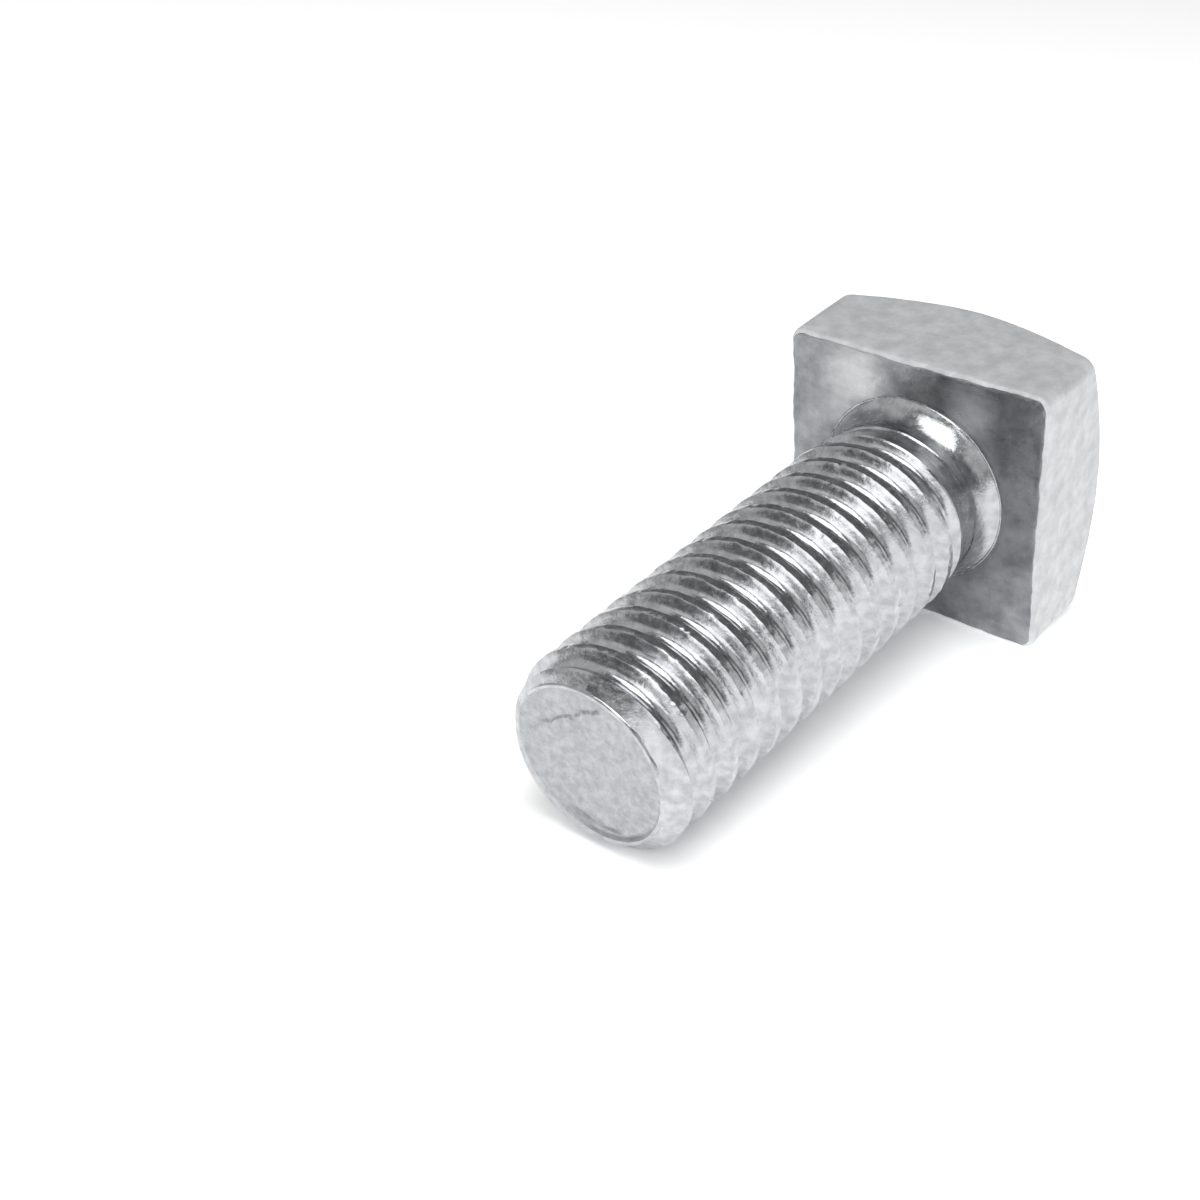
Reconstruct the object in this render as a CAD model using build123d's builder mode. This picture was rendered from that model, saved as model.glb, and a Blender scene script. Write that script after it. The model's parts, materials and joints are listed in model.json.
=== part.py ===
from build123d import *
import os
from math import asin, atan2, ceil, cos, hypot, radians, sin, tan

os.makedirs("parts", exist_ok=True)

# ---- sizes, in millimetres: a 3/8-16 UNC x 1 in square head bolt, near the middle of each tolerance ----
thread_major = 9.40      # over the crests
thread_pitch = 25.4 / 16
shank_length = 25.4      # bearing face to end face
across_flats = 14.10
head_height = 6.50
crown_margin = 0.95      # across flats less the diameter of the flat round top inside the bevel
crown_angle = 30.0       # bevel, measured from the top face
corner_radius = 0.60     # the four standing edges of the square
rim_radius = 0.25        # soft forged edge round the bearing face
neck_fillet = 0.60       # under the head: from the corner to where its rounding starts on either side
runout_start = 1.50      # bearing face to where the last groove dies
runout_turns = 1.60      # over which the thread climbs out of the blank
end_inset = 0.95         # crests to the corner between the end's bevel and its flat, along the radius
end_angle = 60.0         # the end's bevel, measured from the axis
end_edge = 0.20          # how far that corner is knocked off, along either side
crest_gap = 0.10         # end face to the middle of the last crest, on the side named next
crest_side = 105.0       # degrees round the axis: 90 is uppermost as the bolt lies
flank_angle = 60.0       # both flanks together
crest_share = 1 / 8      # width of the crest over the pitch
depth_share = 0.595      # depth of the thread over the pitch
blank_share = 0.2675     # depth of the bare rolling blank under the crests over the pitch

major_r = thread_major / 2
minor_r = major_r - depth_share * thread_pitch
neck_r = major_r - blank_share * thread_pitch
end_r = major_r - end_inset
crown_r = (across_flats - crown_margin) / 2

# ---- head and neck, standing on the bearing face: the shank will point up ----
runout = runout_turns * thread_pitch
root_slope = (neck_r - minor_r) / runout
root_under = 0.12        # the core's cone ends this far inside the thread's root
with BuildPart() as head:
    with BuildSketch():
        Rectangle(across_flats, across_flats)
    extrude(amount=-head_height)
    fillet(head.edges().filter_by(Axis.Z), corner_radius)
    # the crown: a cone takes the corners off the top
    corner = across_flats * 0.75
    with BuildSketch(Plane.XZ) as crown:
        with BuildLine():
            Polyline(
                (0, 0),
                (corner, 0),
                (corner, (corner - crown_r) * tan(radians(crown_angle)) - head_height),
                (crown_r, -head_height),
                (0, -head_height),
                close=True,
            )
        make_face()
    revolve(crown.sketch, axis=Axis.Z, mode=Mode.INTERSECT)
    fillet(head.faces().sort_by(Axis.Z)[-1].edges(), rim_radius)
    # the bare blank, which goes on as a cone under the first turns of the thread
    cone_top = runout_start + (neck_r - minor_r + root_under) / root_slope
    with BuildSketch(Plane.XZ) as neck:
        with BuildLine():
            Bezier((neck_r + neck_fillet, 0), (neck_r, 0), (neck_r, neck_fillet))
            Polyline(
                (neck_r, neck_fillet),
                (neck_r, runout_start),
                (minor_r - root_under, cone_top),
                (0, cone_top),
                (0, -head_height / 2),
                (neck_r + neck_fillet, -head_height / 2),
                (neck_r + neck_fillet, 0),
            )
        make_face()
    revolve(neck.sketch, axis=Axis.Z)

# ---- the thread's axial section over one pitch: (radius, distance from a crest's middle) ----
crest_half = crest_share * thread_pitch / 2
flank_run = (major_r - minor_r) * tan(radians(flank_angle / 2))
thread_section = [
    (major_r, -crest_half),
    (major_r, crest_half),
    (minor_r, crest_half + flank_run),
    (minor_r, thread_pitch - crest_half - flank_run),
]

# ---- threaded rod: strips a turn long, each ruled from one helix to the next ----
rod_start = runout_start - 0.4 * thread_pitch
last_crest = shank_length - crest_gap
turns = ceil((last_crest - crest_half - rod_start) / thread_pitch) + 2
first_crest = last_crest - (turns - 1) * thread_pitch
helices = []
for turn in range(turns + 1):
    for radius, along in thread_section:
        with BuildLine() as winding:
            foot = (0, 0, first_crest + turn * thread_pitch + along)
            Helix(pitch=thread_pitch, height=thread_pitch, radius=radius, center=foot)
        helices.append(winding.edges()[0])
helices = helices[: turns * len(thread_section) + 1]
skin = [Face.make_surface_from_curves(low, high) for low, high in zip(helices, helices[1:])]
# each end is a spiral stair: a tread of one turn round the axis, and the step it leaves
for helix, base in ((helices[0], first_crest), (helices[-1], first_crest + turns * thread_pitch)):
    foot, head_end = (helix @ 0).Z, (helix @ 1).Z
    with BuildLine() as core:
        Line((0, 0, foot), (0, 0, head_end))
    skin.append(Face.make_surface_from_curves(core.edges()[0], helix))
    with BuildSketch(Plane.XZ) as step:
        with BuildLine():
            outline = [(radius, base + along) for radius, along in thread_section]
            Polyline((0, foot), *outline, (major_r, head_end), (0, head_end), close=True)
        make_face()
    skin.append(step.sketch.faces()[0])

crest_slope = (major_r - neck_r) / runout
with BuildPart() as rod:
    add(Solid(Shell(skin)))
    # the end: sheared flat and bevelled, with the corner between the two knocked off
    clear_r = major_r + 0.5
    bevel = radians(end_angle)
    with BuildSketch(Plane.XZ) as end_cut:
        with BuildLine():
            Polyline(
                (0, shank_length),
                (end_r - end_edge, shank_length),
                (end_r + end_edge * sin(bevel), shank_length - end_edge * cos(bevel)),
                (clear_r, shank_length - (clear_r - end_r) / tan(bevel)),
                (clear_r, shank_length + 3 * thread_pitch),
                (0, shank_length + 3 * thread_pitch),
                close=True,
            )
        make_face()
    revolve(end_cut.sketch, axis=Axis.Z, mode=Mode.SUBTRACT)
    # the run-out: the crests sink to the blank's size
    fade_top = runout_start + runout + 0.3
    with BuildSketch(Plane.XZ) as start_cut:
        with BuildLine():
            Polyline(
                (0, rod_start),
                (neck_r - crest_slope * (runout_start - rod_start), rod_start),
                (neck_r + crest_slope * (fade_top - runout_start), fade_top),
                (clear_r + 1, fade_top),
                (clear_r + 1, first_crest - thread_pitch),
                (0, first_crest - thread_pitch),
                close=True,
            )
        make_face()
    revolve(start_cut.sketch, axis=Axis.Z, mode=Mode.SUBTRACT)

# ---- one forging: the thread is turned so that its last crest sits on the side it should ----
with BuildPart() as upright:
    add(head.part)
    add(rod.part, rotation=(0, 0, crest_side))

# ---- laid down: it rests on one edge of the head and on the last full crest ----
full_from = shank_length - (major_r - end_r) / tan(radians(end_angle))
lowest = last_crest - ((crest_side + 90) / 360 % 1) * thread_pitch + crest_half
while lowest > full_from:
    lowest -= thread_pitch
drop = across_flats / 2 - rim_radius - major_r
span = lowest + rim_radius
tilt = atan2(drop, span) + asin(rim_radius / hypot(drop, span))
lying_plane = Plane((0, 0, 0), x_dir=(0, 1, 0), z_dir=(cos(tilt), 0, -sin(tilt)))
with BuildPart() as lying:
    with Locations(lying_plane.location):
        add(upright.part)
box = lying.part.bounding_box()
with BuildPart() as square_head_bolt:
    with Locations((-box.center().X, 0, -box.min.Z)):
        add(lying.part)
square_head_bolt.part.label = "square_head_bolt"
export_step(square_head_bolt.part, "parts/square_head_bolt.step")
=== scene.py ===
import json
from math import cos, exp, pi, radians, sin, sqrt, tan

import bmesh
import bpy
from mathutils import Matrix, Vector, noise


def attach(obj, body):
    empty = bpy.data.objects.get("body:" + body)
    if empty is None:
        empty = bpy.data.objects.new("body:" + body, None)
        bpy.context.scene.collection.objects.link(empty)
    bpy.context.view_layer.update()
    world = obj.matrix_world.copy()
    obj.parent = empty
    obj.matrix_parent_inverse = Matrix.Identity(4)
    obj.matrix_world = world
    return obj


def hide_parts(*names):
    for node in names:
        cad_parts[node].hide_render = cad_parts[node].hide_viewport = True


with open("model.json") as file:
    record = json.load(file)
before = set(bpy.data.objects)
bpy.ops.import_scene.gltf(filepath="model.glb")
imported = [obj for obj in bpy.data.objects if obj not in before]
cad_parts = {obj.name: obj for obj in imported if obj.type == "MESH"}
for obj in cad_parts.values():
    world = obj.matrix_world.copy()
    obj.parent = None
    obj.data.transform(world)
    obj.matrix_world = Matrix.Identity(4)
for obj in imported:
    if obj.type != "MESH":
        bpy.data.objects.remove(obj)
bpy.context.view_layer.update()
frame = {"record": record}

mm = 0.001

# where the bolt lies: its axis and its bearing face, from the frame's mounts
mounts = {mount["name"]: mount for mount in frame["record"]["mounts"]}
axis = Vector(mounts["thread"]["axis"]).normalized()
onAxis = Vector(mounts["thread"]["pos_m"])
leftFlat = Vector(mounts["wrench_flat_left"]["pos_m"])
rightFlat = Vector(mounts["wrench_flat_right"]["pos_m"])
bearingCentre = onAxis + axis * (Vector(mounts["bearing_face"]["pos_m"]) - onAxis).dot(axis)
across = (leftFlat - rightFlat).normalized()
upward = axis.cross(across)
boltPlace = Matrix.Translation(bearingCentre) @ Matrix((across, upward, axis)).transposed().to_4x4()
acrossFlats = (leftFlat - rightFlat).length / mm
print("frame read: across flats %.2f mm" % acrossFlats)


def colour(code):
    # sRGB hex to the linear colour that the sockets take
    parts = [int(code[i:i + 2], 16) / 255 for i in (1, 3, 5)]
    return tuple(c / 12.92 if c <= 0.04045 else ((c + 0.055) / 1.055) ** 2.4 for c in parts) + (1.0,)


def addNode(tree, kind, settings={}, links={}):
    # settings are the node's own properties; links are its inputs: a socket, a node or a plain value
    node = tree.nodes.new(kind)
    for name, value in settings.items():
        setattr(node, name, value)
    for key, value in links.items():
        socket = node.inputs[key]
        if isinstance(value, bpy.types.NodeSocket):
            tree.links.new(value, socket)
        elif isinstance(value, bpy.types.Node):
            tree.links.new(value.outputs[0], socket)
        else:
            socket.default_value = value
    return node


# the threaded shank, in millimetres in the bolt's own frame: the axis is Z and the bearing face is at 0
shank = {
    "Pitch": 25.4 / 16,
    "Major Radius": 4.70,
    "Crest Width": 0.36,       # flat, as the rolling dies leave it
    "Crest Radius": 0.03,      # of its two edges
    "Root Radius": 0.44,
    "Neck Radius": 4.275,
    "Neck Top": 1.38,          # the thread's mesh takes over from the head's here
    "Run-out Start": 1.50,
    "Run-out Length": 2.54,
    "Run-out Softness": 0.12,
    "Neck Blend": 0.25,        # past the start of the run-out the skin has left the plain neck
    "End": 25.28,              # the rim of the cut end
    "End Radius": 3.98,        # of the rim, on average
    "End Lean": 0.38,          # the shears rounded one side off more: the rim's centre is out by this
    "End Side": radians(52),   # and this is the side
    "End Slope": 1.75,         # radius lost per millimetre over the end's bevel
    "Lip Slope": 1.1,          # the lip that the shears squeezed up round the rim
    "End Softness": 0.15,
    "Rim Blend": 0.10,         # this far from the rim the skin has left its exact circle
    "First Crest": 25.30,      # a crest's middle on the side given by Crest Side
    "Crest Side": radians(105),
    "Unevenness": 0.012,       # of the rolled surface
    "Swells per mm": 0.9,
    "Ragged": 0.045,           # how far the crests' outline wanders
    "Frays per mm": 3.5,
    "Nicks": 0.07,             # depth of the dents in the crests
    "Nicks per mm": 2.6,
    "Nicks From": 0.60,        # level of their noise at which a nick begins
    "Nicks To": 0.78,          # and at which it is at its deepest
    "Pattern Radius": 4.5,     # of the cylinder on which the noises are read
    "Crest Top": 0.05,         # depth below the crests down to which they are fully frayed
    "Crest Foot": 0.25,        # and at which that has died away
    "Steps a Turn": 216,
}
stepsATurn = shank["Steps a Turn"]
# the point, counted from a crest's middle, at which each stretch of the section ends
sectionEnds = {"flat": 1.0, "edge": 3.0, "flank": 5.0, "root": 10.0}
columns = int(2 * sectionEnds["root"]) + 1      # over a whole pitch, both ends counted
flankSlope = tan(radians(60))      # each flank leans 30 degrees from a cut across the axis
arcShare = cos(radians(30))        # of an arc's radius, from its middle to where the flank begins
arcEdge = 0.999                    # an arc ends just short of the flank's first point
merged = 0.0005                    # points nearer than this are one

# the thread's rule, one node a line: its name, its kind and what goes into it, by the names above it.
# A name in capitals is the operation of a Math node.
threadRule = (
    # enough turns to cover the shank and be trimmed at both ends
    ("threaded", "SUBTRACT", "End", "Neck Top"),
    ("fullTurns", "DIVIDE", "threaded", "Pitch"),
    ("spareTurns", "ADD", "fullTurns", 2.0),
    ("turns", "CEIL", "spareTurns"),
    ("lastRow", "MULTIPLY", "turns", "Steps a Turn"),
    ("rows", "ADD", "lastRow", 1.0),
    ("grid", "GeometryNodeMeshGrid", {}, {"Vertices X": "rows", "Vertices Y": columns}),
    # a row of the grid is one section of the thread, and a column one place on it
    ("index", "GeometryNodeInputIndex", {}, {}),
    ("midIndex", "ADD", "index", 0.5),
    ("rowsDone", "DIVIDE", "midIndex", columns),
    ("row", "FLOOR", "rowsDone"),
    ("rowIndex", "MULTIPLY", "row", columns),
    ("column", "SUBTRACT", "index", "rowIndex"),
    ("turnsDone", "DIVIDE", "row", "Steps a Turn"),
    ("angle", "MULTIPLY", "turnsDone", 2 * pi),
    ("cosine", "COSINE", "angle"),
    ("sine", "SINE", "angle"),
    # the crest that the row starts from climbs a pitch a turn
    ("pastSide", "SUBTRACT", "angle", "Crest Side"),
    ("turnsPastSide", "DIVIDE", "pastSide", 2 * pi),
    ("climb", "MULTIPLY", "turnsPastSide", "Pitch"),
    ("turnsBelow", "SUBTRACT", "turns", 1.0),
    ("depthBelow", "MULTIPLY", "turnsBelow", "Pitch"),
    ("lowest", "SUBTRACT", "First Crest", "depthBelow"),
    ("crestHeight", "ADD", "lowest", "climb"),
    # widths of the section's stretches: the flat, its rounded edge, the flank and the round root
    ("halfPitch", "DIVIDE", "Pitch", 2.0),
    ("halfFlat", "DIVIDE", "Crest Width", 2.0),
    ("edgeArc", "MULTIPLY", "Crest Radius", arcShare),
    ("halfCrest", "ADD", "halfFlat", "edgeArc"),
    ("halfRoot", "MULTIPLY", "Root Radius", arcShare),
    ("restOfPitch", "SUBTRACT", "halfPitch", "halfRoot"),
    ("flankWidth", "SUBTRACT", "restOfPitch", "halfCrest"),
    ("edgeWidth", "SUBTRACT", "halfCrest", "halfFlat"),
    # how far along the pitch this point lies
    ("step", "PINGPONG", "column", sectionEnds["root"]),
    ("overFlat", "ShaderNodeMapRange", {}, {
        "Value": "step", "From Min": 0.0, "From Max": sectionEnds["flat"], "To Max": "halfFlat"}),
    ("overEdge", "ShaderNodeMapRange", {}, {
        "Value": "step", "From Min": sectionEnds["flat"], "From Max": sectionEnds["edge"],
        "To Max": "edgeWidth"}),
    ("overFlank", "ShaderNodeMapRange", {}, {
        "Value": "step", "From Min": sectionEnds["edge"], "From Max": sectionEnds["flank"],
        "To Max": "flankWidth"}),
    ("overRoot", "ShaderNodeMapRange", {}, {
        "Value": "step", "From Min": sectionEnds["flank"], "From Max": sectionEnds["root"],
        "To Max": "halfRoot"}),
    ("overCrest", "ADD", "overFlat", "overEdge"),
    ("overGroove", "ADD", "overFlank", "overRoot"),
    ("downhill", "ADD", "overCrest", "overGroove"),
    ("uphill", "SUBTRACT", "Pitch", "downhill"),
    ("isUphill", "GREATER_THAN", "column", sectionEnds["root"]),
    ("along", "ShaderNodeMix", {}, {"Factor": "isUphill", "A": "downhill", "B": "uphill"}),
    ("freeHeight", "ADD", "crestHeight", "along"),
    ("trimmedBelow", "MAXIMUM", "freeHeight", "Neck Top"),
    ("height", "MINIMUM", "trimmedBelow", "End"),
    # radius: crest, straight flank, round root; measured from the nearest crest
    ("fromCrest", "SUBTRACT", "height", "crestHeight"),
    ("offset", "PINGPONG", "fromCrest", "halfPitch"),
    ("crestCorner", "ADD", "Major Radius", "Crest Radius"),
    ("flatRise", "MULTIPLY", "halfFlat", flankSlope),
    ("sharp", "ADD", "crestCorner", "flatRise"),
    ("flankFall", "MULTIPLY", "offset", flankSlope),
    ("flank", "SUBTRACT", "sharp", "flankFall"),
    ("besideFlat", "SUBTRACT", "offset", "halfFlat"),
    ("pastFlat", "MAXIMUM", "besideFlat", 0.0),
    ("edgeSquare", "POWER", "Crest Radius", 2.0),
    ("pastFlatSquare", "POWER", "pastFlat", 2.0),
    ("edgeRest", "SUBTRACT", "edgeSquare", "pastFlatSquare"),
    ("edgeInside", "MAXIMUM", "edgeRest", 0.0),
    ("edgeRise", "SQRT", "edgeInside"),
    ("edgeCentre", "SUBTRACT", "Major Radius", "Crest Radius"),
    ("crestArc", "ADD", "edgeCentre", "edgeRise"),
    # the bottom of the V that the flanks would make, and the arc that rounds it
    ("flanksFall", "MULTIPLY", "Pitch", flankSlope / 2),
    ("bottom", "SUBTRACT", "sharp", "flanksFall"),
    ("minor", "ADD", "bottom", "Root Radius"),
    ("rootOffset", "SUBTRACT", "halfPitch", "offset"),
    ("rootSquare", "POWER", "Root Radius", 2.0),
    ("rootOffsetSquare", "POWER", "rootOffset", 2.0),
    ("rootRest", "SUBTRACT", "rootSquare", "rootOffsetSquare"),
    ("rootInside", "MAXIMUM", "rootRest", 0.0),
    ("rootDrop", "SQRT", "rootInside"),
    ("rootCentre", "ADD", "minor", "Root Radius"),
    ("rootArc", "SUBTRACT", "rootCentre", "rootDrop"),
    ("crestReach", "MULTIPLY", "halfCrest", arcEdge),
    ("rootReach", "MULTIPLY", "halfRoot", arcEdge),
    ("atCrest", "LESS_THAN", "offset", "crestReach"),
    ("atRoot", "LESS_THAN", "rootOffset", "rootReach"),
    ("withCrest", "ShaderNodeMix", {}, {"Factor": "atCrest", "A": "flank", "B": "crestArc"}),
    ("section", "ShaderNodeMix", {}, {"Factor": "atRoot", "A": "withCrest", "B": "rootArc"}),
    # run-out: the roots rise and the crests sink to the bare blank
    ("pastStart", "SUBTRACT", "height", "Run-out Start"),
    ("runOutShare", "DIVIDE", "pastStart", "Run-out Length"),
    ("rootFall", "SUBTRACT", "minor", "Neck Radius"),
    ("crestClimb", "SUBTRACT", "Major Radius", "Neck Radius"),
    ("coreFall", "MULTIPLY", "runOutShare", "rootFall"),
    ("capRise", "MULTIPLY", "runOutShare", "crestClimb"),
    ("core", "ADD", "Neck Radius", "coreFall"),
    ("cap", "ADD", "Neck Radius", "capRise"),
    ("overCore", "SMOOTH_MAX", "section", "core", "Run-out Softness"),
    ("underCap", "SMOOTH_MIN", "overCore", "cap", "Run-out Softness"),
    # sheared end: a lip round the rim, and a bevel that is deeper on one side
    ("pastEndSide", "SUBTRACT", "angle", "End Side"),
    ("sideShare", "COSINE", "pastEndSide"),
    ("lean", "MULTIPLY", "sideShare", "End Lean"),
    ("rim", "SUBTRACT", "End Radius", "lean"),
    ("fromEnd", "SUBTRACT", "End", "height"),
    ("lipFall", "MULTIPLY", "fromEnd", "Lip Slope"),
    ("lip", "SUBTRACT", "rim", "lipFall"),
    ("overLip", "SMOOTH_MAX", "underCap", "lip", "End Softness"),
    ("bevelRise", "MULTIPLY", "fromEnd", "End Slope"),
    ("bevel", "ADD", "rim", "bevelRise"),
    ("underBevel", "SMOOTH_MIN", "overLip", "bevel", "End Softness"),
    # the rolled metal isn't quite even, and its crests are ragged and have been knocked
    ("spotX", "MULTIPLY", "cosine", "Pattern Radius"),
    ("spotY", "MULTIPLY", "sine", "Pattern Radius"),
    ("spot", "ShaderNodeCombineXYZ", {}, {"X": "spotX", "Y": "spotY", "Z": "height"}),
    ("swell", "ShaderNodeTexNoise", {}, {"Vector": "spot", "Scale": "Swells per mm", "Detail": 3.0}),
    ("swellSide", "SUBTRACT", "swell", 0.5),
    ("swellDepth", "MULTIPLY", "Unevenness", 2.0),
    ("swelling", "MULTIPLY", "swellSide", "swellDepth"),
    ("uneven", "ADD", "underBevel", "swelling"),
    ("fray", "ShaderNodeTexNoise", {}, {"Vector": "spot", "Scale": "Frays per mm", "Detail": 2.0}),
    ("knocks", "ShaderNodeTexNoise", {}, {"Vector": "spot", "Scale": "Nicks per mm", "Detail": 2.0}),
    ("nicks", "ShaderNodeMapRange", {"interpolation_type": "SMOOTHSTEP"}, {
        "Value": "knocks", "From Min": "Nicks From", "From Max": "Nicks To"}),
    ("crestFoot", "SUBTRACT", "Major Radius", "Crest Foot"),
    ("crestTop", "SUBTRACT", "Major Radius", "Crest Top"),
    ("onCrest", "ShaderNodeMapRange", {"interpolation_type": "SMOOTHSTEP"}, {
        "Value": "uneven", "From Min": "crestFoot", "From Max": "crestTop"}),
    ("nickDepth", "MULTIPLY", "nicks", "Nicks"),
    ("fraySide", "SUBTRACT", "fray", 0.5),
    ("frayReach", "MULTIPLY", "Ragged", 2.0),
    ("frayDepth", "MULTIPLY", "fraySide", "frayReach"),
    ("wear", "ADD", "nickDepth", "frayDepth"),
    ("crestWear", "MULTIPLY", "wear", "onCrest"),
    ("worn", "SUBTRACT", "uneven", "crestWear"),
    # the neck and the rim are exact, so that the rest of the skin meets them
    ("neckEnd", "ADD", "Run-out Start", "Neck Blend"),
    ("offNeck", "ShaderNodeMapRange", {"interpolation_type": "SMOOTHSTEP"}, {
        "Value": "height", "From Min": "Neck Top", "From Max": "neckEnd"}),
    ("neckMet", "ShaderNodeMix", {}, {"Factor": "offNeck", "A": "Neck Radius", "B": "worn"}),
    ("offRim", "ShaderNodeMapRange", {"interpolation_type": "SMOOTHSTEP"}, {
        "Value": "fromEnd", "From Min": 0.0, "From Max": "Rim Blend"}),
    ("radius", "ShaderNodeMix", {}, {"Factor": "offRim", "A": "rim", "B": "neckMet"}),
    ("placeX", "MULTIPLY", "radius", "cosine"),
    ("placeY", "MULTIPLY", "radius", "sine"),
    ("place", "ShaderNodeCombineXYZ", {}, {"X": "placeX", "Y": "placeY", "Z": "height"}),
    ("wound", "GeometryNodeSetPosition", {}, {"Geometry": "grid", "Position": "place"}),
    ("closed", "GeometryNodeMergeByDistance", {}, {"Geometry": "wound", "Distance": merged}),
    ("real", "GeometryNodeRealizeInstances", {}, {"Geometry": "closed"}),
    ("finished", "GeometryNodeSetMaterial", {}, {"Geometry": "real", "Material": "Finish"}),
)


def threadTree():
    # a geometry nodes tree that follows the thread's rule
    tree = bpy.data.node_groups.new("rolledThread", "GeometryNodeTree")
    tree.interface.new_socket("Geometry", in_out="INPUT", socket_type="NodeSocketGeometry")
    tree.interface.new_socket("Geometry", in_out="OUTPUT", socket_type="NodeSocketGeometry")
    for name, value in shank.items():
        kind = "NodeSocketInt" if isinstance(value, int) else "NodeSocketFloat"
        tree.interface.new_socket(name, in_out="INPUT", socket_type=kind).default_value = value
    tree.interface.new_socket("Finish", in_out="INPUT", socket_type="NodeSocketMaterial")
    given = addNode(tree, "NodeGroupInput").outputs
    made = {name: given[name] for name in (*shank, "Finish")}
    for name, kind, *inputs in threadRule:
        settings, links = inputs if "Node" in kind else ({"operation": kind}, dict(enumerate(inputs)))
        kind = kind if "Node" in kind else "ShaderNodeMath"
        links = {key: made.get(value, value) for key, value in links.items()}
        made[name] = addNode(tree, kind, settings, links).outputs[0]
    addNode(tree, "NodeGroupOutput", {}, {"Geometry": made["finished"]})
    return tree


def newFinish(name):
    finish = bpy.data.materials.new(name)
    finish.use_nodes = True
    finish.node_tree.nodes.clear()
    return finish, finish.node_tree


# painted reflections on the bearing face: bright streaky spots in its colour that stand for the neck's
# highlights mirrored there
paintedReflectionSpot = {
    # in sizes of the spot: how far its streaks reach, where it is full and where it is gone
    "streaks": 1.2, "full": 0.7, "gone": 2.1,
    "streak mm": 1.25,
    "squeeze": (1.0, 2.0, 1.0),    # the streaks are half as long up the face as across it
    "share": 0.5,                  # of the bright tone at the full spot
}


def zincFinish(name, look):
    # electroplated zinc over steel: a grey metal whose gloss follows the surface below it
    finish, tree = newFinish(name)
    coordinates = addNode(tree, "ShaderNodeTexCoord")
    # from metres to millimetres, turned into the bolt's own frame
    turned = boltPlace.inverted()
    place = addNode(tree, "ShaderNodeMapping", {}, {
        "Vector": coordinates.outputs["Object"],
        "Location": turned.translation / mm,
        "Rotation": turned.to_euler(),
        "Scale": (1 / mm,) * 3})
    cloud = addNode(tree, "ShaderNodeTexNoise", {}, {
        "Vector": place, "Scale": 1 / look["cloud mm"], "Detail": 4.0, "Roughness": 0.6})
    grain = addNode(tree, "ShaderNodeTexNoise", {}, {
        "Vector": place, "Scale": 1 / look["grain mm"], "Detail": 3.0, "Roughness": 0.65})
    spread = addNode(tree, "ShaderNodeMapRange", {}, {
        "Value": cloud.outputs["Fac"], "From Min": 0.35, "From Max": 0.65})
    # a Mix node's sockets 6 and 7 are its two colours, and output 2 the mixed one
    tone = addNode(tree, "ShaderNodeMix", {"data_type": "RGBA"}, {
        "Factor": spread.outputs[0], 6: colour(look["dark"]), 7: colour(look["light"])})
    for x, y, size in look.get("paintedReflection mm", ()):
        # a painted reflection: a bright spot laid into the colour for the neck's highlight mirrored in
        # the face, streaky towards its edge
        squeezed = addNode(tree, "ShaderNodeMapping", {}, {
            "Vector": place, "Scale": paintedReflectionSpot["squeeze"]})
        streaks = addNode(tree, "ShaderNodeTexNoise", {}, {
            "Vector": squeezed, "Scale": 1 / paintedReflectionSpot["streak mm"], "Detail": 4.0})
        far = addNode(tree, "ShaderNodeVectorMath", {"operation": "DISTANCE"}, {0: place, 1: (x, y, 0)})
        far = addNode(tree, "ShaderNodeMath", {"operation": "MULTIPLY_ADD"}, {
            0: streaks.outputs["Fac"], 1: size * paintedReflectionSpot["streaks"], 2: far.outputs["Value"]})
        paintedReflection = addNode(tree, "ShaderNodeMapRange", {"interpolation_type": "SMOOTHSTEP"}, {
            "Value": far, "From Min": size * paintedReflectionSpot["gone"], "From Max": size * paintedReflectionSpot["full"],
            "To Max": paintedReflectionSpot["share"]})
        tone = addNode(tree, "ShaderNodeMix", {"data_type": "RGBA"}, {
            "Factor": paintedReflection.outputs[0], 6: tone.outputs[2], 7: colour(look["paintedReflection"])})
    gloss = addNode(tree, "ShaderNodeMapRange", {}, {
        "Value": grain.outputs["Fac"], "From Min": 0.3, "From Max": 0.7,
        "To Min": look["roughness"] - look["roughness spread"],
        "To Max": look["roughness"] + look["roughness spread"]})
    height = addNode(tree, "ShaderNodeMath", {"operation": "MULTIPLY_ADD"}, {
        0: cloud.outputs["Fac"], 1: look["cloud share"], 2: grain.outputs["Fac"]})
    bump = addNode(tree, "ShaderNodeBump", {}, {
        "Strength": look["bump"], "Distance": look["bump mm"] * mm, "Height": height})
    shader = addNode(tree, "ShaderNodeBsdfPrincipled", {}, {
        "Base Color": tone.outputs[2], "Metallic": 1.0, "Roughness": gloss, "Normal": bump})
    addNode(tree, "ShaderNodeOutputMaterial", {}, {"Surface": shader})
    return finish


# hot-forged head: scale pits under the zinc leave it matt, with soft clouds
forgedZinc = zincFinish("forgedZinc", {
    "light": "#e6e7e8", "dark": "#d6d7d9", "cloud mm": 0.9, "grain mm": 0.20, "roughness": 0.78,
    "roughness spread": 0.06, "bump": 0.5, "bump mm": 0.03, "cloud share": 1.0})
# bearing face: struck flat by the die, so smoother than the sides; its tone is set darker than theirs,
# and its two bright spots are painted reflections of the neck's highlights
struckZincPaintedReflections = zincFinish("struckZincPaintedReflections", {
    "light": "#a0a2a4", "dark": "#787a7c", "cloud mm": 1.8, "grain mm": 0.30, "roughness": 0.34,
    "roughness spread": 0.08, "bump": 0.5, "bump mm": 0.03, "cloud share": 1.5,
    "paintedReflection mm": ((3.3, 5.3, 1.3), (-3.3, 5.2, 1.7)), "paintedReflection": "#e2e3e4"})
# thread and neck: burnished by the rolling dies, so the zinc is bright
rolledZinc = zincFinish("rolledZinc", {
    "light": "#c6c8ca", "dark": "#a8aaac", "cloud mm": 0.5, "grain mm": 0.25, "roughness": 0.20,
    "roughness spread": 0.08, "bump": 0.45, "bump mm": 0.014, "cloud share": 1.4})
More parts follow.
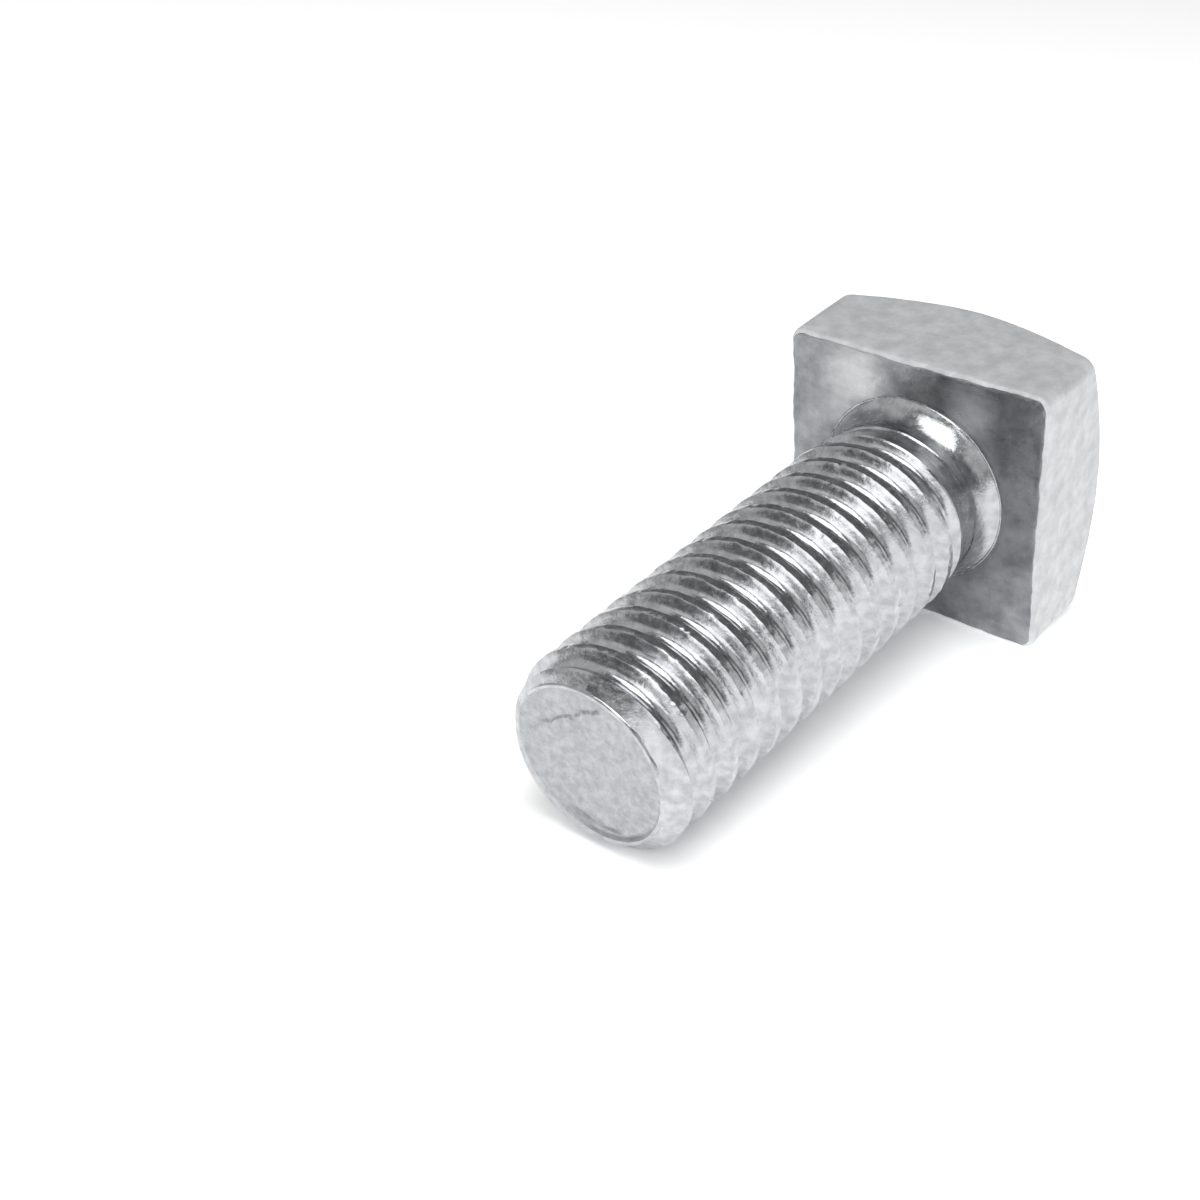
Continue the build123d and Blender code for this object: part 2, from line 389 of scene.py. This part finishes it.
# cut end: sheared across, so it is dull and grained
shearedZinc = zincFinish("shearedZinc", {
    "light": "#bfc1c3", "dark": "#a8aaac", "cloud mm": 0.35, "grain mm": 0.16, "roughness": 0.55,
    "roughness spread": 0.05, "bump": 0.8, "bump mm": 0.03, "cloud share": 1.2})
finishes = [forgedZinc, struckZincPaintedReflections, rolledZinc, shearedZinc]
isForged, isStruck, isRolled, isSheared = range(len(finishes))
print("finishes made")

# head, neck and cut end are rings of points round the axis; lengths are millimetres
head = {
    "height": 6.50,
    "corner radius": 0.60,
    "rim radius": 0.25,
    "crown radius": (acrossFlats - 0.95) / 2,
    "crown slope": tan(radians(30)),
    "crown edge": 0.30,        # softness where the bevel meets the sides
    "fillet": 2.20,            # long and hollow, under the head
    "fillet span": (radians(12), radians(46)),   # from the neck to the crease in the bearing face
    "crease width": 0.13,
    "crease depth": 0.07,
    "crease section": ((0.25, 0.8), (0.5, 1), (0.75, 0.7), (1, 0.15)),     # shares of the two
    # layers of waves are given as their size, share and seed
    "forging waves": 0.035,    # height of the unevenness in the forged faces
    "forging layers": ((2.6, 1, 5), (1.1, 0.5, 7)),
    "waves from": 5.0,         # radius inside which the bearing face stays even
    "rim waves": 0.10,         # how far the rim of the bearing face wanders outward
    "rim layers": ((1.3, 1, 9), (0.45, 0.8, 3)),
    "rim rise": 0.08,          # and along the axis
    "rise layers": ((0.9, 1, 13), (0.4, 0.8, 17)),
    "rim waves reach": 0.6,    # inward along the bearing face
    "rim waves depth": 0.9,    # and along the sides
    "corner crowding": 0.80,   # the rings' points gather at the corners
    "crowding growth": 1.4,    # on the bearing face they do so before its edge is reached
    "rows": {"neck": 4, "fillet": 14, "face": 22, "rim": 5, "side": 18, "crown edge": 5, "bevel": 14},
    "top rings": (0.985, 0.97, 0.95, 0.90, 0.82, 0.73, 0.63, 0.53, 0.43, 0.33, 0.23, 0.13, 0.05),
}
halfFlats = acrossFlats / 2


def outline(angle):
    # radius of the rounded square at an angle
    x, y = abs(cos(angle)), abs(sin(angle))
    x, y = max(x, y), min(x, y)
    middle = halfFlats - head["corner radius"]
    if halfFlats * y / x <= middle:
        return halfFlats / x
    # where the ray leaves the corner's circle
    along = middle * (x + y)
    return along + sqrt(max(along**2 - 2 * middle**2 + head["corner radius"] ** 2, 0))


def ringAngles(crowding):
    turn = [2 * pi * i / stepsATurn for i in range(stepsATurn)]
    return [a + crowding / 4 * sin(4 * a) for a in turn]


def wander(x, y, z, layers):
    return sum(
        share * noise.noise(Vector((x / size + seed, y / size - seed, z / size)))
        for size, share, seed in layers)


def forgedWaves(r, angle, z):
    # the forging's gentle waves, and the finer ones of the bearing face's rim
    if r < head["waves from"]:
        return r, z
    x, y = r * cos(angle), r * sin(angle)
    r += head["forging waves"] * wander(x, y, z, head["forging layers"])
    nearRim = max(0, 1 - abs(z) / head["rim waves depth"]) ** 2
    nearRim *= max(0, 1 - (outline(angle) - r) / head["rim waves reach"])
    r += head["rim waves"] * nearRim * wander(x, y, 0, head["rim layers"])
    z += head["rim rise"] * nearRim * wander(x, y, 0, head["rise layers"])
    return r, z


def headRings():
    # (finish, points) from the neck's joint down over the head to the middle of its top
    rings = []
    neckRadius, fillet, rim = shank["Neck Radius"], head["fillet"], head["rim radius"]
    crowd, rows = head["corner crowding"], head["rows"]

    def addRing(finish, crowding, shape):
        points = []
        for angle in ringAngles(crowding):
            r, z = shape(angle)
            r, z = forgedWaves(r, angle, z)
            points.append(Vector((r * cos(angle), r * sin(angle), z)))
        rings.append((finish, points))

    near, far = head["fillet span"]
    top = fillet * (sin(far) - sin(near))
    for i in range(rows["neck"]):
        z = shank["Neck Top"] + (top - shank["Neck Top"]) * i / rows["neck"]
        addRing(isRolled, 0, lambda angle, z=z: (neckRadius, z))
    for i in range(rows["fillet"] + 1):
        a = near + (far - near) * i / rows["fillet"]
        addRing(isRolled, 0, lambda angle, a=a: (
            neckRadius + fillet * (cos(near) - cos(a)), fillet * (sin(far) - sin(a))))
    inner = neckRadius + fillet * (cos(near) - cos(far))
    for share, down in head["crease section"]:
        addRing(isRolled, 0, lambda angle, share=share, down=down: (
            inner + head["crease width"] * share, -head["crease depth"] * down))
    inner += head["crease width"]
    for i in range(1, rows["face"] + 1):
        t = i / rows["face"]
        addRing(isStruck, crowd * min(t * head["crowding growth"], 1), lambda angle, t=t: (
            inner + (outline(angle) - rim - inner) * t, 0))
    for i in range(1, rows["rim"] + 1):
        a = pi / 2 * i / rows["rim"]
        addRing(isForged if i > 1 else isStruck, crowd, lambda angle, a=a: (
            outline(angle) - rim * (1 - sin(a)), rim * (cos(a) - 1)))

    def crownZ(r):
        return -head["height"] + max(r - head["crown radius"], 0) * head["crown slope"]

    edge = head["crown edge"]
    for i in range(1, rows["side"] + 1):
        t = i / rows["side"]
        addRing(isForged, crowd, lambda angle, t=t: (
            outline(angle), -rim + (crownZ(outline(angle)) + edge + rim) * t))
    for i in range(1, rows["crown edge"] + 1):
        a = pi / 2 * i / rows["crown edge"]
        # a soft turn from the side to the bevel
        addRing(isForged, crowd, lambda angle, a=a: (
            outline(angle) - edge * (1 - cos(a)),
            crownZ(outline(angle) - edge * (1 - cos(a))) + edge * (1 - sin(a))))
    for i in range(1, rows["bevel"] + 1):
        t = i / rows["bevel"]
        addRing(isForged, crowd, lambda angle, t=t: (
            (outline(angle) - edge) * (1 - t) + head["crown radius"] * t,
            crownZ((outline(angle) - edge) * (1 - t) + head["crown radius"] * t)))
    for share in head["top rings"]:
        addRing(isForged, crowd, lambda angle, share=share: (
            head["crown radius"] * share, -head["height"]))
    return rings


def rimRadius(angle):
    return shank["End Radius"] - shank["End Lean"] * cos(angle - shank["End Side"])


cutEnd = {
    "face": 25.4,              # height of the sheared face
    # the tear that the shears left: from one point to another, and its drop
    "tear start": Vector((-2.5, 1.1)),
    "tear end": Vector((1.4, 3.6)),
    "tear drop": 0.11,
    "tear softness": 0.11,     # width of the drop's lip
    "tear layers": ((0.9, 0.30, 21), (0.35, 0.10, 23)),    # its line wanders: size, reach and seed
    "tear run-in": 3,          # it opens over this part of its length: a third
    "tear heals": (1.6, 1.4),  # the face is back at its height this far from the tear, over this width
    # each dent: its side, radius, length round the rim and depth
    "dents": (
        (radians(257), 3.25, 0.80, 0.20),
        (radians(283), 3.45, 0.60, 0.20),
        (radians(8), 3.1, 0.30, 0.07)),
    "dent width": 0.13,
    "groove": 0.16,            # between the face and the lip, on the lip's side
    "groove side": radians(292),
    "groove inset": 0.14,
    "groove width": 0.09,
    "waves": 0.03,
    "wave layers": ((1.4, 1, 31), (0.5, 0.6, 33)),
    # the rim's round: its least width and what the lip's side adds, then its section in shares
    # of its width and height
    "round width": (0.16, 0.45),
    "round": ((0, 0), (0.10, 0.40), (0.28, 0.74), (0.55, 0.93), (1, 1)),
    "rows": 36,
}


def smooth(t):
    t = min(max(t, 0), 1)
    return t * t * (3 - 2 * t)


def bell(offset):
    return exp(-offset ** 2)


def shearMarks(r, angle, rim):
    # how far the sheared face lies below its plane
    x, y = r * cos(angle), r * sin(angle)
    here = Vector((x, y))
    run = cutEnd["tear end"] - cutEnd["tear start"]
    share = (here - cutEnd["tear start"]).dot(run) / run.length_squared
    aside = (here - cutEnd["tear start"]).cross(run.normalized())
    aside += wander(x, y, 0, cutEnd["tear layers"])
    away, over = cutEnd["tear heals"]
    drop = cutEnd["tear drop"] * (1 - smooth(aside / cutEnd["tear softness"]))
    drop *= smooth(1 + share * cutEnd["tear run-in"]) * smooth((aside + away) / over)
    for side, radius, length, depth in cutEnd["dents"]:
        drop += depth * bell((r - radius) / cutEnd["dent width"]) * bell((angle - side) * radius / length)
    lowSide = max(0, cos(angle - cutEnd["groove side"])) ** 2
    drop += cutEnd["groove"] * lowSide * bell((rim - cutEnd["groove inset"] - r) / cutEnd["groove width"])
    drop += cutEnd["waves"] * wander(x, y, 0, cutEnd["wave layers"])
    return drop


def endRings():
    # from the end's rim inward: a soft round, wide where the lip is high, then the sheared face
    rings = []
    rimHeight, rise = shank["End"], cutEnd["face"] - shank["End"]
    narrow, widening = cutEnd["round width"]

    def addRing(finish, inset, climbed, share):
        points = []
        for angle in ringAngles(0):
            rim = rimRadius(angle)
            width = narrow + widening * max(0, -cos(angle - shank["End Side"])) ** 2
            r = (rim - width * inset) * share
            drop = shearMarks(r, angle, rim - width) if share < 1 else 0
            points.append(Vector((r * cos(angle), r * sin(angle), rimHeight + rise * climbed - drop)))
        rings.append((finish, points))

    for inset, climbed in cutEnd["round"]:
        addRing(isRolled, inset, climbed, 1)
    for i in range(1, cutEnd["rows"]):
        addRing(isSheared, 1, 1, 1 - i / cutEnd["rows"])
    return rings


def skinRings(mesh, rings, flip):
    previous = None
    for finish, points in rings:
        row = [mesh.verts.new(p) for p in points]
        if previous:
            for i in range(len(row)):
                j = (i + 1) % len(row)
                corners = (previous[i], previous[j], row[j], row[i])
                face = mesh.faces.new(corners[::-1] if flip else corners)
                face.material_index = finish
        previous = row
    centre = mesh.verts.new(sum((v.co for v in previous), Vector()) / len(previous))
    for i in range(len(previous)):
        j = (i + 1) % len(previous)
        corners = (previous[i], previous[j], centre)
        face = mesh.faces.new(corners[::-1] if flip else corners)
        face.material_index = rings[-1][0]


# the thread is wound on a carrier, and its plain mesh is taken from it
carrier = bpy.data.objects.new("threadCarrier", bpy.data.meshes.new("threadCarrier"))
bpy.context.collection.objects.link(carrier)
modifier = carrier.modifiers.new("thread", "NODES")
modifier.node_group = threadTree()
for item in modifier.node_group.interface.items_tree:
    if item.in_out == "INPUT" and item.name in shank:
        modifier[item.identifier] = shank[item.name]
    if item.in_out == "INPUT" and item.name == "Finish":
        modifier[item.identifier] = rolledZinc
evaluated = carrier.evaluated_get(bpy.context.evaluated_depsgraph_get())
threadMesh = bpy.data.meshes.new_from_object(evaluated)
carrier.modifiers.remove(modifier)
bpy.data.objects.remove(carrier)
print("thread wound: %d points" % len(threadMesh.vertices))

joined = 0.002             # the thread's ends and the rings beside them meet within this
crisp = radians(25)        # an edge that turns by more than this stays sharp, as the crests' do
skin = bmesh.new()
skin.from_mesh(threadMesh)
for face in skin.faces:
    face.material_index = isRolled
skinRings(skin, headRings(), False)
skinRings(skin, endRings(), True)
bmesh.ops.remove_doubles(skin, verts=skin.verts, dist=joined)
bmesh.ops.dissolve_degenerate(skin, edges=skin.edges, dist=merged)
bmesh.ops.recalc_face_normals(skin, faces=skin.faces)
openEdges = sum(1 for edge in skin.edges if not edge.is_manifold)
for vertex in skin.verts:
    vertex.co *= mm
bmesh.ops.transform(skin, matrix=boltPlace, verts=skin.verts)
for face in skin.faces:
    face.smooth = True
for edge in skin.edges:
    edge.smooth = edge.calc_face_angle(0) < crisp
boltMesh = bpy.data.meshes.new("zincPlatedBolt")
skin.to_mesh(boltMesh)
triangles = sum(len(face.verts) - 2 for face in skin.faces)
skin.free()
for finish in finishes:
    boltMesh.materials.append(finish)
bolt = bpy.data.objects.new("zincPlatedBolt", boltMesh)
bpy.context.collection.objects.link(bolt)
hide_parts("square_head_bolt")
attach(bolt, "root")
print("bolt skinned: %d triangles, %d open edges" % (triangles, openEdges))

# a round sheet of white paper whose far edge turns up a little
floor = {
    "reach": 1.5,          # metres
    "edge width": 0.1,
    "turned up": 0.25,
    "sides": 96,
    "paper": "#d8d8d8",    # as which it lights the bolt
    "paper white": 1.55,   # seen or mirrored, it is white all over, apart from the bolt's shadow
    "white from": 0.14,    # past this the lamps no longer reach, and the paper is white of itself
    "white to": 0.24,
    "dims from": 0.30,     # and then it dims towards its edge
    "dims to": 0.80,
    "edge strength": 0.70,
    "fade from": 0.09,     # height over which the turned up edge fades to the room's grey
    "fade to": 0.24,
}
roomStrength = 0.18
sides, outer = floor["sides"], floor["reach"] + floor["edge width"]
spokes = [(cos(2 * pi * i / sides), sin(2 * pi * i / sides)) for i in range(sides)]
floorPoints = [(x * floor["reach"], y * floor["reach"], 0) for x, y in spokes]
floorPoints += [(x * outer, y * outer, floor["turned up"]) for x, y in spokes]
floorFaces = [list(range(sides))]
floorFaces += [(i, sides + i, sides + (i + 1) % sides, (i + 1) % sides) for i in range(sides)]
floorMesh = bpy.data.meshes.new("floor")
floorMesh.from_pydata(floorPoints, [], floorFaces)
floorPiece = bpy.data.objects.new("floor", floorMesh)
bpy.context.collection.objects.link(floorPiece)
# matt uncoated paper: no sheen, only the bolt's soft shadow on it
paper, paperTree = newFinish("whitePaper")
lightPath = addNode(paperTree, "ShaderNodeLightPath")
seen = addNode(paperTree, "ShaderNodeMath", {"operation": "MAXIMUM"}, {
    0: lightPath.outputs["Is Camera Ray"], 1: lightPath.outputs["Is Glossy Ray"]})
white = addNode(paperTree, "ShaderNodeMix", {"data_type": "RGBA"}, {
    "Factor": seen, 6: colour(floor["paper"]), 7: (floor["paper white"],) * 3 + (1.0,)})
diffuse = addNode(paperTree, "ShaderNodeBsdfDiffuse", {}, {"Color": white.outputs[2]})
position = addNode(paperTree, "ShaderNodeNewGeometry").outputs["Position"]
distance = addNode(paperTree, "ShaderNodeVectorMath", {"operation": "LENGTH"}, {0: position})
beyond = addNode(paperTree, "ShaderNodeMapRange", {"interpolation_type": "SMOOTHSTEP"}, {
    "Value": distance.outputs["Value"], "From Min": floor["white from"], "From Max": floor["white to"]})
rise = addNode(paperTree, "ShaderNodeSeparateXYZ", {}, {"Vector": position})
fade = addNode(paperTree, "ShaderNodeMapRange", {"interpolation_type": "SMOOTHSTEP"}, {
    "Value": rise.outputs["Z"], "From Min": floor["fade from"], "From Max": floor["fade to"],
    "To Min": floor["edge strength"], "To Max": roomStrength})
dim = addNode(paperTree, "ShaderNodeMapRange", {"interpolation_type": "SMOOTHSTEP"}, {
    "Value": distance.outputs["Value"], "From Min": floor["dims from"], "From Max": floor["dims to"],
    "To Min": 1.0, "To Max": fade.outputs[0]})
glow = addNode(paperTree, "ShaderNodeEmission", {}, {"Strength": dim.outputs[0]})
share = addNode(paperTree, "ShaderNodeMath", {"operation": "MULTIPLY"}, {0: seen, 1: beyond.outputs[0]})
surface = addNode(paperTree, "ShaderNodeMixShader", {}, {0: share, 1: diffuse, 2: glow})
addNode(paperTree, "ShaderNodeOutputMaterial", {}, {"Surface": surface})
floorMesh.materials.append(paper)
print("floor laid")

camera = {
    "place": (67.51, 41.98, 52.14),      # mm
    "turn": (59.17, 0.32, 128.63),       # degrees
    "lens": 58.87,                       # mm, as is the sensor's width
    "sensor": 36,
    "clip": 0.005,                       # metres
}
cameraData = bpy.data.cameras.new("camera")
cameraData.lens = camera["lens"]
cameraData.sensor_width = camera["sensor"]
cameraData.clip_start = camera["clip"]
cameraObject = bpy.data.objects.new("camera", cameraData)
cameraObject.location = Vector(camera["place"]) * mm
cameraObject.rotation_euler = [radians(a) for a in camera["turn"]]
bpy.context.collection.objects.link(cameraObject)
bpy.context.scene.camera = cameraObject

lamps = {
    # name: (place in mm, size in mm, strength in watts)
    "front": ((232, 72, 127), (150, 180), 0.17),
    "overhead": ((30, 55, 268), (200, 200), 0.40),
    "left": ((45, -205, 165), (400, 270), 0.16),
    "upper left": ((187, -54, 194), (90, 160), 0.028),
    "right": ((-154, 220, 75), (170, 150), 0.055),
    "card": ((114, 214, 129), (200, 150), 0.05),
}
lampsAimAt = Vector((0, 0, 0.007))       # the middle of the bolt
for name, (place, size, strength) in lamps.items():
    data = bpy.data.lights.new(name, "AREA")
    data.shape = "RECTANGLE"
    data.size, data.size_y = size[0] * mm, size[1] * mm
    data.energy = strength
    lamp = bpy.data.objects.new(name, data)
    lamp.location = Vector(place) * mm
    lamp.rotation_euler = (-lamp.location + lampsAimAt).to_track_quat("-Z", "Y").to_euler()
    bpy.context.collection.objects.link(lamp)

world = bpy.data.worlds.new("studio")
bpy.context.scene.world = world
world.use_nodes = True
roomTree = world.node_tree
roomTree.nodes.clear()
backdrop = addNode(roomTree, "ShaderNodeBackground", {}, {
    "Color": colour("#ffffff"), "Strength": roomStrength})
addNode(roomTree, "ShaderNodeOutputWorld", {}, {"Surface": backdrop})
bpy.context.scene.view_settings.view_transform = "Standard"
print("camera and %d lamps set" % len(lamps))
